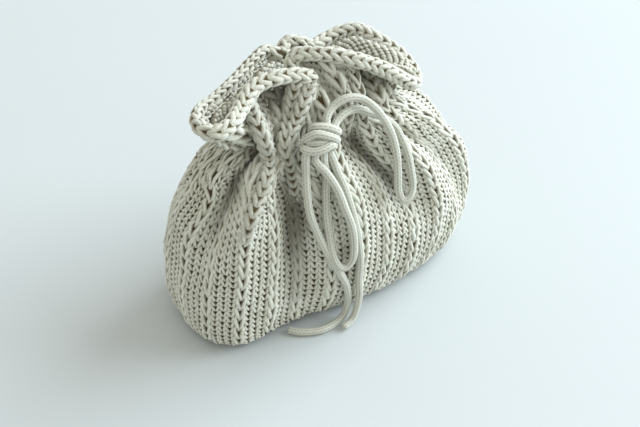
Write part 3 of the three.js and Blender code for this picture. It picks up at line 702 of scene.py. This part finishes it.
def knitTree():
    # Rows of knitting: a strand for each row, bent into loops on the flat and then wrapped on the cloth
    tree = bpy.data.node_groups.new("knitRows", "GeometryNodeTree")
    face = tree.interface
    counts = ["columns", "rows", "samples", "sides"]
    sizes = ["allColumns", "allRows", "firstColumn", "firstRow", "yarnRadius", "legGirth", "backGirth",
             "loopRise", "sway", "depth", "slipEvery", "slipAt", "slipRise", "slipSwell", "slipPlump", "lean",
             "tuck", "uneven"]
    face.new_socket("Geometry", in_out="INPUT", socket_type="NodeSocketGeometry")
    for names, kind in ((counts, "Int"), (sizes, "Float"), (["material"], "Material")):
        for name in names:
            face.new_socket(name, in_out="INPUT", socket_type="NodeSocket" + kind)
    face.new_socket("Geometry", in_out="OUTPUT", socket_type="NodeSocketGeometry")
    given = addNode(tree, "NodeGroupInput").outputs
    position = addNode(tree, "GeometryNodeInputPosition").outputs[0]
    chanceSeed = 7.0
    acrossEdge, upEdge = 0.00002, 0.0002  # strands stay this far inside the cloth's edges, as shares of it

    # A flat strand from 0 to 1 for each row, with a chance value for each stitch
    straight = addNode(tree, "GeometryNodeCurvePrimitiveLine", {"Start": (0, 0, 0), "End": (1, 0, 0)})
    strand = addNode(tree, "GeometryNodeResampleCurve", {"Curve": straight.outputs[0]})
    copies = addNode(tree, "GeometryNodeDuplicateElements",
                     {"Geometry": strand.outputs[0], "Amount": given["rows"]}, domain="SPLINE")
    along = addNode(tree, "ShaderNodeSeparateXYZ", {0: position})
    which = addNode(tree, "ShaderNodeCombineXYZ", {2: chanceSeed})
    noise = addNode(tree, "ShaderNodeTexWhiteNoise", {"Vector": which.outputs[0]}, noise_dimensions="3D")
    chance = addNode(tree, "ShaderNodeMapRange",
                     {"Value": noise.outputs["Value"], "To Min": -1.0, "To Max": 1.0})

    # Where each point of the strand lies in its loop
    value = {name: given[name] for name in counts + sizes}
    value["x"] = along.outputs[0]
    value["row"] = copies.outputs["Duplicate Index"]
    value["chance"] = chance.outputs[0]
    for name, operation, a, b in [
        ("steps", "MULTIPLY", "columns", "samples"),
        ("points", "ADD", "steps", 1.0),
        ("run", "MULTIPLY", "x", "columns"),
        ("s", "ADD", "run", "firstColumn"),
        ("t", "FRACT", "s", 0.0),
        ("column", "FLOOR", "s", 0.0),
        ("line", "ADD", "row", "firstRow"),
        ("fromSlip", "SUBTRACT", "column", "slipAt"),
        ("slipPhase", "FLOORED_MODULO", "fromSlip", "slipEvery"),
        ("slip", "LESS_THAN", "slipPhase", 0.5),
        ("odd", "FLOORED_MODULO", "line", 2.0),
        ("even", "SUBTRACT", 1.0, "odd"),
        ("tall", "MULTIPLY", "slip", "even"),
        ("float", "MULTIPLY", "slip", "odd"),
        ("knit", "SUBTRACT", 1.0, "float"),
        ("angle", "MULTIPLY", "t", turn),
        ("twice", "MULTIPLY", "t", 2 * turn),
        ("cosOnce", "COSINE", "angle", 0.0),
        ("sinOnce", "SINE", "angle", 0.0),
        ("sinTwice", "SINE", "twice", 0.0),
        ("tucking", "MULTIPLY", "sinOnce", "tuck"),
        ("late", "SUBTRACT", "t", "tucking"),
        ("lateTwice", "MULTIPLY", "late", 2 * turn),
        ("cosTwice", "COSINE", "lateTwice", 0.0),
        ("arch", "SUBTRACT", 1.0, "cosOnce"),
        ("halfArch", "MULTIPLY", "arch", 0.5),
        ("front", "MULTIPLY", "cosTwice", -1.0),
        ("frontOne", "ADD", "front", 1.0),
        ("leg", "MULTIPLY", "frontOne", 0.5),
        ("extraRise", "MULTIPLY", "tall", "slipRise"),
        ("fullRise", "ADD", "loopRise", "extraRise"),
        ("chanceNow", "MULTIPLY", "chance", "uneven"),
        ("chanceRise", "ADD", "chanceNow", 1.0),
        ("unevenRise", "MULTIPLY", "fullRise", "chanceRise"),
        ("rise", "MULTIPLY", "unevenRise", "knit"),
        ("climb", "MULTIPLY", "halfArch", "rise"),
        ("y", "ADD", "line", "climb"),
        ("leaning", "MULTIPLY", "sinOnce", "lean"),
        ("leanOne", "ADD", "leaning", 1.0),
        ("swayKnit", "MULTIPLY", "sway", "knit"),
        ("swayNow", "MULTIPLY", "swayKnit", "leanOne"),
        ("aside", "MULTIPLY", "swayNow", "sinTwice"),
        ("xNow", "ADD", "s", "aside"),
        ("knitFront", "MULTIPLY", "front", "knit"),
        ("share", "SUBTRACT", "knitFront", "float"),
        ("low", "MULTIPLY", "share", "depth"),
        ("swell", "MULTIPLY", "tall", "slipSwell"),
        ("swelled", "MULTIPLY", "swell", "leg"),
        ("swellOut", "MULTIPLY", "swelled", "depth"),
        ("z", "ADD", "low", "swellOut"),
        ("plump", "MULTIPLY", "leg", "legGirth"),
        ("plumpSlip", "MULTIPLY", "tall", "slipPlump"),
        ("plumpTall", "MULTIPLY", "plumpSlip", "leg"),
        ("thick", "ADD", "plump", "plumpTall"),
        ("thickNow", "ADD", "thick", "backGirth"),
        ("chanceThick", "MULTIPLY", "chanceNow", "leg"),
        ("thickChance", "ADD", "chanceThick", 1.0),
        ("thickness", "MULTIPLY", "thickNow", "thickChance"),
        ("acrossShare", "DIVIDE", "xNow", "allColumns"),
        ("upShare", "DIVIDE", "y", "allRows"),
        ("acrossLow", "MAXIMUM", "acrossShare", acrossEdge),
        ("acrossIn", "MINIMUM", "acrossLow", 1 - acrossEdge),
        ("upLow", "MAXIMUM", "upShare", upEdge),
        ("upIn", "MINIMUM", "upLow", 1 - upEdge),
    ]:
        node = addNode(tree, "ShaderNodeMath", {0: value.get(a, a), 1: value.get(b, b)}, operation=operation)
        value[name] = node.outputs[0]
    tree.links.new(value["points"], strand.inputs["Count"])
    tree.links.new(value["column"], which.inputs[0])
    tree.links.new(value["line"], which.inputs[1])

    # Wrap the strands on the cloth
    spot = addNode(tree, "ShaderNodeCombineXYZ", {0: value["acrossIn"], 1: value["upIn"]})
    stitches = addNode(tree, "GeometryNodeInputNamedAttribute", {"Name": "stitches"},
                       data_type="FLOAT_VECTOR")
    read = {}
    for name, kind in (("position", "FLOAT_VECTOR"), ("outward", "FLOAT_VECTOR"), ("spread", "FLOAT"),
                       ("hollow", "FLOAT")):
        field = addNode(tree, "GeometryNodeInputNamedAttribute", {"Name": name}, data_type=kind)
        read[name] = addNode(tree, "GeometryNodeSampleUVSurface",
                             {"Mesh": given["Geometry"], "Value": field.outputs[0],
                              "Source UV Map": stitches.outputs[0], "Sample UV": spot.outputs[0]},
                             data_type=kind)
    girth = addNode(tree, "ShaderNodeMath", {0: value["thickness"], 1: read["spread"].outputs[0]},
                    operation="MULTIPLY")
    lifted = addNode(tree, "ShaderNodeVectorMath", {0: read["outward"].outputs[0], "Scale": value["z"]},
                     operation="SCALE")
    wrapped = addNode(tree, "ShaderNodeVectorMath", {0: read["position"].outputs[0], 1: lifted.outputs[0]},
                      operation="ADD")
    keep = addNode(tree, "GeometryNodeCaptureAttribute", {"Geometry": copies.outputs["Geometry"]})
    for name, kind, source in [
        ("onCloth", "BOOLEAN", read["position"].outputs["Is Valid"]),
        ("toFront", "FLOAT", value["share"]),
        ("thickness", "FLOAT", girth.outputs[0]),
        ("facing", "VECTOR", read["outward"].outputs[0]),
        ("hollow", "FLOAT", read["hollow"].outputs[0]),
    ]:
        keep.capture_items.new(kind, name)
        tree.links.new(source, keep.inputs[name])
    bent = addNode(tree, "GeometryNodeSetPosition",
                   {"Geometry": keep.outputs["Geometry"], "Position": wrapped.outputs[0]})
    off = addNode(tree, "FunctionNodeBooleanMath", {0: keep.outputs["onCloth"]}, operation="NOT")
    clipped = addNode(tree, "GeometryNodeDeleteGeometry",
                      {"Geometry": bent.outputs[0], "Selection": off.outputs[0]}, domain="POINT")

    # Give the strands their thickness, and keep each point's place on its strand for the ply
    measure = addNode(tree, "GeometryNodeSplineParameter")
    lengths = addNode(tree, "GeometryNodeCaptureAttribute", {"Geometry": clipped.outputs[0]})
    lengths.capture_items.new("FLOAT", "length")
    tree.links.new(measure.outputs["Length"], lengths.inputs["length"])
    circle = addNode(tree, "GeometryNodeCurvePrimitiveCircle",
                     {"Resolution": given["sides"], "Radius": given["yarnRadius"]})
    edge = addNode(tree, "GeometryNodeCaptureAttribute", {"Geometry": circle.outputs["Curve"]})
    edge.capture_items.new("VECTOR", "edge")
    tree.links.new(position, edge.inputs["edge"])
    tube = addNode(tree, "GeometryNodeCurveToMesh",
                   {"Curve": lengths.outputs["Geometry"], "Profile Curve": edge.outputs["Geometry"],
                    "Scale": keep.outputs["thickness"], "Fill Caps": True})
    flat = addNode(tree, "ShaderNodeSeparateXYZ", {0: edge.outputs["edge"]})
    space = addNode(tree, "ShaderNodeCombineXYZ",
                    {0: flat.outputs[0], 1: flat.outputs[1], 2: lengths.outputs["length"]})
    # How squarely the tube faces out of the cloth: with the strand's depth and the hollow share, the yarn's
    # material paints shade from it
    normal = addNode(tree, "GeometryNodeInputNormal")
    upright = addNode(tree, "ShaderNodeVectorMath", {0: normal.outputs[0], 1: keep.outputs["facing"]},
                      operation="DOT_PRODUCT")
    crest = addNode(tree, "ShaderNodeMath", {0: upright.outputs["Value"]}, operation="ABSOLUTE")
    geometry = tube.outputs[0]
    for name, kind, source in [
        ("yarnSpace", "FLOAT_VECTOR", space.outputs[0]),
        ("yarnFront", "FLOAT", keep.outputs["toFront"]),
        ("yarnCrown", "FLOAT", crest.outputs[0]),
        ("yarnHollow", "FLOAT", keep.outputs["hollow"]),
    ]:
        stored = addNode(tree, "GeometryNodeStoreNamedAttribute",
                         {"Geometry": geometry, "Name": name, "Value": source}, data_type=kind)
        geometry = stored.outputs[0]
    smooth = addNode(tree, "GeometryNodeSetShadeSmooth", {"Geometry": geometry})
    real = addNode(tree, "GeometryNodeRealizeInstances", {"Geometry": smooth.outputs[0]})
    painted = addNode(tree, "GeometryNodeSetMaterial",
                      {"Geometry": real.outputs[0], "Material": given["material"]})
    addNode(tree, "NodeGroupOutput", {"Geometry": painted.outputs[0]})
    return tree


knitRows = knitTree()


def makeKnit(name, clothMesh, settings):
    # Knits rows on a helper surface and keeps them as a plain mesh
    made = bpy.data.objects.new(name, clothMesh)
    scene.collection.objects.link(made)
    knit = made.modifiers.new("knit", "NODES")
    knit.node_group = knitRows
    chosen = {**settings, "material": yarnCotton}
    for item in knitRows.interface.items_tree:
        if item.in_out == "INPUT" and item.name in chosen:
            knit[item.identifier] = chosen[item.name]
    mesh = bpy.data.meshes.new_from_object(made.evaluated_get(bpy.context.evaluated_depsgraph_get()))
    made.modifiers.remove(knit)
    made.data = mesh
    mesh.name = name
    print(f"{name}: {len(mesh.polygons)} faces")
    return made


stitch = {"samples": 12, "sides": 6, "yarnRadius": 1.12 * mm, "legGirth": 0.36, "backGirth": 0.74,
          "loopRise": 1.9, "sway": 0.3, "depth": 1.35 * mm, "slipEvery": 4.0, "slipAt": 3.0, "slipRise": 2.5,
          "slipSwell": 0.3, "slipPlump": 0.24, "lean": 0.2, "tuck": 0.04, "uneven": 0.11,
          "allColumns": float(cloth["columns"]), "allRows": float(cloth["wallRows"] + cloth["frillRows"])}
noSlip = {"slipAt": -1.0, "slipEvery": 5000.0}  # so rare that no column is slipped
grid, normals, columnMarks, rowMarks = clothGrid()
clothMesh = gridMesh("cloth", grid, normals, columnMarks / cloth["columns"], rowMarks / stitch["allRows"],
                     spread=columnSpread(grid), hollow=hollowShare(grid, normals, columnMarks, rowMarks))
print("cloth shaped")


def thinSheet(name, grid, normals, thickness):
    # A closed sheet: two faces a little apart, joined along their edges, dark with the gaps' painted shade
    rows, columns = grid.shape[:2]
    index, outer = gridFaces(rows, columns)
    inner = outer[:, ::-1] + rows * columns
    ring = np.concatenate([index[0], index[1:, -1], index[-1, -2::-1], index[-2:0:-1, 0]])
    ahead = np.roll(ring, -1)
    sides = np.stack([ring, ring + rows * columns, ahead + rows * columns, ahead], -1)
    half = (normals * np.broadcast_to(thickness, (rows, columns))[..., None]).reshape(-1, 3) / 2
    points = grid.reshape(-1, 3)
    made = meshObject(name, np.vstack([points + half, points - half]),
                      np.vstack([outer, inner, sides]).tolist(), shadeSheetCotton)
    return made


# Wall: three bands of rows over one ground
wallCloth = {"flat": (0.530, 0.146), "ground": 0.8}
wallLevels = {"lower": (0, 11), "middle": (11, 22), "upper": (22, 32)}
# Where the cloth is gathered its plain stitches are shorter and its slipped ones plumper
gathered = {"lower": {}, "middle": {"loopRise": 1.8}, "upper": {"loopRise": 1.65, "slipPlump": 0.3},
            "frill": {"yarnRadius": 1.2 * mm, "loopRise": 1.6, "slipRise": 2.0, "slipPlump": 0.4}}
wallTop = cloth["wallRows"] * cloth["perRow"] + 1
wallGround = thinSheet("wall_ground", grid[:wallTop:2], normals[:wallTop:2], wallCloth["ground"])
wallBands = []
for level, (fromRow, toRow) in wallLevels.items():
    wallBands.append(makeKnit(f"wall_knit_{level}", clothMesh,
                              {**stitch, "firstColumn": 0.0, "columns": cloth["columns"],
                               "firstRow": float(fromRow), "rows": toRow - fromRow,
                               **gathered[level]}))
for piece in [wallGround] + wallBands:
    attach(piece, "pouch")
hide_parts("body_wall")

# Base: straight rows clipped to the oval that the pouch stands on
baseCloth = {"inset": -1.4, "rimUp": 0.03, "rimPoints": 160, "height": 1.75, "step": 1.5, "margin": 0.01,
             "columnWidth": 4.6, "rowHeight": 3.7, "ground": 1.0, "edgeRound": 0.985,
             "flat": (0.184, 0.084), "area": 0.0128,
             "stitch": {**noSlip, "depth": 0.6 * mm, "samples": 10}}
baseShares = np.linspace(0, 1, baseCloth["rimPoints"], endpoint=False)
baseRim = wallPoints(baseShares, baseCloth["rimUp"], 1.0, cloth["settle"] + baseCloth["inset"])[:, :2]


def insideRim(x, y, rim):
    # Counts the rim's edges that a ray towards +x crosses
    x1, y1 = rim.T
    x2, y2 = np.roll(rim, -1, axis=0).T
    spans = (y1 > y[..., None]) != (y2 > y[..., None])
    crossing = x1 + (y[..., None] - y1) * (x2 - x1) / np.where(y2 == y1, 1e-9, y2 - y1)
    return np.sum(spans & (x[..., None] < crossing), axis=-1) % 2 == 1


def baseGrid(size, rim):
    # Points over the whole base, and which of them lie within its rim
    low, high = rim.min(axis=0), rim.max(axis=0)
    across = np.arange(low[0], high[0] + size["margin"], size["step"])
    down = np.arange(high[1], low[1] - size["margin"], -size["step"])
    x, y = np.meshgrid(across, down)
    points = np.stack([x, y, np.full_like(x, size["height"])], -1)
    return points, insideRim(x, y, rim), across, down


basePoints, baseInside, baseAcross, baseDown = baseGrid(baseCloth, baseRim)
baseFacing = np.broadcast_to(-upward, basePoints.shape)
baseMesh = gridMesh("baseCloth", basePoints, baseFacing, (baseAcross - baseAcross[0]) / np.ptp(baseAcross),
                    (baseDown[0] - baseDown) / np.ptp(baseDown), baseInside)
baseColumns = round(np.ptp(baseAcross) / baseCloth["columnWidth"])
baseRows = round(np.ptp(baseDown) / baseCloth["rowHeight"])
baseKnit = makeKnit("base_knit", baseMesh,
                    {**stitch, **baseCloth["stitch"], "firstColumn": 0.0, "columns": baseColumns,
                     "firstRow": 0.0, "rows": baseRows - 1, "allColumns": float(baseColumns),
                     "allRows": float(baseRows)})


def baseDisc(size, rim):
    # The oval as a plump disc, closed above and below, dark with the gaps' painted shade
    middle = rim.mean(axis=0)
    low, high = size["height"], size["height"] + size["ground"]
    rings = [(size["edgeRound"], low), (1.0, (low + high) / 2), (size["edgeRound"], high)]
    points = [np.column_stack([middle + (rim - middle) * k, np.full(len(rim), z)]) for k, z in rings]
    return meshObject("base_ground", np.vstack(points), closedTube(len(rings), len(rim)), shadeSheetCotton)


baseGround = baseDisc(baseCloth, baseRim)
for piece in (baseKnit, baseGround):
    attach(piece, "pouch")
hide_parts("base_panel")
print("wall and base knitted")

# Frill and its rolled rim, one of each for each lobe; the lobes meet in the folds at front and back
lobes = {
    "right": {"columns": (0, 59), "body": "right_lobe", "start": (47, 0, 126), "end": (60.5, 0, 141.2),
              "flat": (0.235, 0.036)},
    "left": {"columns": (59, 104), "body": "left_lobe", "start": (-53, 0, 126), "end": (-80.8, 0, 159.5),
             "flat": (0.185, 0.036)}}
rimRoll = {"columns": 3, "radius": 2.3, "link": 5.75, "perLink": 4, "round": 24, "ground": 2.2,
           # hollow: a share of painted shade laid evenly over the whole roll
           "hollow": 0.14,
           "stitch": {**noSlip, "yarnRadius": 1.6 * mm, "depth": 0.9 * mm, "loopRise": 1.85, "sway": 0.3,
                      "samples": 14, "sides": 7, "lean": 0.0}}
# How thick the roll is round the rim: share of the way round, and share of the full roll
rimGirth = [(0, 1), (0.30, 1), (0.34, 0.62), (0.455, 0.62), (0.50, 0.95), (0.53, 1), (1, 1)]


def rimLine(first, last):
    # Close points along the rim, the way its lip points and how thick its roll is
    share = np.linspace(first, last, fine["rim"])
    return *rimLip(share), np.interp(share % 1.0, *np.array(rimGirth).T)


def rollBand(size, line, crestWay, girth):
    # A rolled edge as a tube: columns run round it and links run along it
    length = lengthAlong(line)
    links = round(length[-1] / size["link"])
    at = np.linspace(0, length[-1], links * size["perLink"] + 1)
    line, crestWay = [readAlong(at, length, rows) for rows in (line, crestWay)]
    girth = np.interp(at, length, girth)[:, None]
    ahead = unit(np.gradient(line, axis=0))
    crest = unit(crestWay - ahead * np.sum(crestWay * ahead, axis=1)[:, None])
    side = np.cross(ahead, crest)
    columns = np.arange(size["columns"] * size["round"] + 1) / size["round"]
    angle = turn * (columns - 0.5) / size["columns"]
    ring = crest[:, None] * np.cos(angle)[None, :, None] + side[:, None] * np.sin(angle)[None, :, None]
    band = line[:, None] + ring * (size["radius"] * girth)[..., None]
    return band, ring, columns / size["columns"], at / length[-1], links, girth


def knitRoll(kind, name, size, line, crestWay, girth):
    # The chain of stitches on a roll, over its own ground
    band, bandOut, bandAcross, bandUp, links, girth = rollBand(size, line, crestWay, girth)
    bandMesh = gridMesh(f"{kind}Cloth", band, bandOut, bandAcross, bandUp, spread=girth,
                        hollow=size["hollow"])
    chain = makeKnit(f"{kind}_chain_{name}", bandMesh,
                     {**stitch, **size["stitch"], "firstColumn": 0.0, "columns": size["columns"],
                      "firstRow": 0.0, "rows": links, "allColumns": float(size["columns"]),
                      "allRows": float(links)})
    ground = thinSheet(f"{kind}_ground_{name}", band[::2], bandOut[::2], size["ground"] * girth[::2])
    return ground, chain, links


# Inside of the frill: rows of bumps, each row set half a bump aside from the one below it. Each level is
# given as rows higher and pairs of bumps aside
purl = {"inward": 2.6, "even": 8, "bump": 4.2, "measured": 38, "lowest": 35.4, "rows": 5,
        "levels": {"even": (0.0, 0.0), "odd": (0.5, 0.25)},
        "stitch": {**noSlip, "yarnRadius": 1.3 * mm, "depth": 1.2 * mm, "loopRise": 0.1, "sway": 0.0,
                   "samples": 14, "lean": 0.0, "tuck": 0.0, "uneven": 0.16}}


def purlCloth(size, aside):
    # The cloth's inner face without its ribs, with pairs of bumps counted along it at an even pace
    inner = roundAbout(grid, size["even"])
    inner[:, -1] = inner[:, 0]
    facing = outward(inner)
    pairs = lengthAlong(inner[size["measured"] * cloth["perRow"]]) / (2 * size["bump"])
    mesh = gridMesh("purlCloth", inner - facing * size["inward"], -facing, (pairs + aside) / pairs[-1],
                    rowMarks / stitch["allRows"])
    return mesh, pairs


def makePurl(name, fromPoint, toPoint):
    # The bumps of one lobe, between two points round the cloth
    made = []
    for level, (higher, aside) in purl["levels"].items():
        mesh, pairs = purlCloth(purl, aside)
        start, end = pairs[fromPoint], pairs[toPoint - 1]
        made.append(makeKnit(f"frill_purl_{name}_{level}", mesh,
                             {**stitch, **purl["stitch"], "allColumns": float(pairs[-1]),
                              "firstColumn": float(start), "columns": int(end - start),
                              "firstRow": purl["lowest"] + higher, "rows": purl["rows"]}))
    return made


# Rolled folds that run up from the wall, over the neck, to the left lip; their hollow paints a deeper shade
# over the whole roll than the rim's
foldRoll = {**rimRoll, "radius": 2.4, "hollow": 0.36, "step": 0.3, "lift": 1.2,
            "crest": (-0.35, -0.75, 0.55)}
foldLines = {
    "first": [(-71.5, -32, 82), (-73.4, -35.4, 91), (-71, -36.8, 99.4), (-67.6, -35.6, 105.6),
              (-63.4, -33.2, 110), (-59.5, -30.8, 113), (-54.5, -28.3, 117.5), (-49.3, -22.9, 119.8),
              (-46.1, -18.5, 123.8), (-47.4, -18.5, 131.4), (-49, -17.7, 139.9), (-49.2, -13.2, 145.2),
              (-48.8, -7.5, 149.5), (-49.5, -5.1, 156.3)],
    "second": [(-32.6, -22.5, 82), (-33, -23, 90), (-33, -22.2, 98), (-33.4, -21, 107), (-34.6, -20.6, 116),
               (-36.4, -20.6, 122.3), (-36.8, -19.9, 127.3), (-35.5, -17.9, 132.8), (-30, -11.9, 136.2),
               (-24.6, -7.1, 141.9), (-21.2, -5.1, 150.2), (-19, -4.5, 156)],
    "third": [(-37.2, -15.5, 117), (-35.6, -17.4, 123), (-32.7, -18.7, 132.7), (-26.7, -14.5, 137.9),
              (-20.4, -12, 144.7), (-15, -8.7, 149.9), (-11, -7, 154)]}
frillFoot = cloth["wallRows"] * cloth["perRow"]
for name, lobe in lobes.items():
    first, last = lobe["columns"]
    fromPoint, toPoint = first * cloth["perColumn"], last * cloth["perColumn"] + 1
    frillGround = thinSheet(f"frill_ground_{name}", grid[frillFoot::2, fromPoint:toPoint],
                            normals[frillFoot::2, fromPoint:toPoint], wallCloth["ground"])
    frillKnit = makeKnit(f"frill_knit_{name}", clothMesh,
                         {**stitch, "firstColumn": float(first), "columns": last - first,
                          "firstRow": float(cloth["wallRows"]), "rows": cloth["frillRows"],
                          **gathered["frill"]})
    ends = [cloth["seam"] + column / cloth["columns"] for column in (first, last)]
    rimGround, rimKnit, links = knitRoll("rim", name, rimRoll, *rimLine(*ends))
    rolled = makePurl(name, fromPoint, toPoint) + [rimGround, rimKnit]
    for order, points in (foldLines if name == "left" else {}).items():
        line = smoothRoute(points, foldRoll["step"])[0] + np.array(foldRoll["crest"]) * foldRoll["lift"]
        foldGround, foldKnit, _ = knitRoll("fold", order, foldRoll, line,
                                           np.tile(foldRoll["crest"], (len(line), 1)), np.ones(len(line)))
        rolled += [foldGround, foldKnit]
    for piece in [frillGround, frillKnit] + rolled:
        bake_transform(piece)
    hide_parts(f"frill_{name}")
    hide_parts(f"rim_edge_{name}")
    print(f"{name} lobe knitted with {links} links in its rim")

# Cord round the neck, in and out of the pleats
neckRun = {"start": 0.622, "round": 0.862, "steps": 72, "inward": 6.5, "weave": 6.0, "times": 9}


def neckRoute(run):
    # From the knot round the neck and back to it, weaving in and out
    along = np.linspace(0, 1, run["steps"] + 1)
    outside = (1 - np.cos(turn * run["times"] * along)) / 2 * np.sin(math.pi * along) ** 0.5
    ring = wallPoints(run["start"] - along * run["round"], 1.0, 0.0, run["inward"] - run["weave"] * outside)
    return ([onKnot(-4, -2.5, -3), onKnot(-8, -3, -6)] + [tuple(p) for p in ring]
            + [onKnot(6, -2, -9), onKnot(3, -1, -4)])


neckCord, neckLine, neckLength = makeCord("neck_cord", [neckRoute(neckRun)], cordSize)
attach(neckCord, "pouch")
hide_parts("drawstring_neck_run")
print(f"neck_cord: {neckLength:.0f} mm of cord")


# Floor and light, in metres; the table's faint clouds in millimetres
stageLook = {"floor": "#c5cbcc", "floorHalf": 4, "cloud": 166.7, "cloudDeep": 0.97,
             "finish": {"Roughness": 0.7}, "world": "#f1f1ea", "worldStrength": 0.88, "key": 275.0,
             "keyColour": (0.82, 0.91, 1.0), "keyPlace": (3.1, -0.6, 1.6), "keyAim": (0, 0, 0.08),
             "keySize": 3.6}


def makeStage(look):
    # A matt painted table top, pale and even, with a wide window light from the right
    half = look["floorHalf"]
    mesh = bpy.data.meshes.new("floor")
    corners = [(-half, -half, 0), (half, -half, 0), (half, half, 0), (-half, half, 0)]
    mesh.from_pydata(corners, [], [(0, 1, 2, 3)])
    material, tree, shader, place = startMaterial("matt painted table", look["finish"])
    cloud = addNode(tree, "ShaderNodeTexNoise",
                    {"Vector": place, "Scale": 1 / (look["cloud"] * mm), "Detail": 2.0})
    tone = addNode(tree, "ShaderNodeMapRange",
                   {"Value": cloud.outputs["Fac"], "To Min": look["cloudDeep"], "To Max": 1.0})
    colour = addNode(tree, "ShaderNodeMix", {0: tone.outputs[0], 6: (0, 0, 0, 1), 7: linear(look["floor"])},
                     data_type="RGBA")
    tree.links.new(colour.outputs[2], shader.inputs["Base Color"])
    mesh.materials.append(material)
    floor = bpy.data.objects.new("floor", mesh)
    scene.collection.objects.link(floor)
    world = bpy.data.worlds.new("studio")
    world.use_nodes = True
    sky = world.node_tree.nodes["Background"].inputs
    sky["Color"].default_value = linear(look["world"])
    sky["Strength"].default_value = look["worldStrength"]
    scene.world = world
    data = bpy.data.lights.new("windowLight", "AREA")
    data.size = look["keySize"]
    data.energy = look["key"]
    data.color = look["keyColour"]
    lamp = bpy.data.objects.new("windowLight", data)
    lamp.location = look["keyPlace"]
    aim = Vector(look["keyAim"]) - Vector(look["keyPlace"])
    lamp.rotation_euler = aim.to_track_quat("-Z", "Y").to_euler()
    scene.collection.objects.link(lamp)


makeStage(stageLook)
print("stage ready")
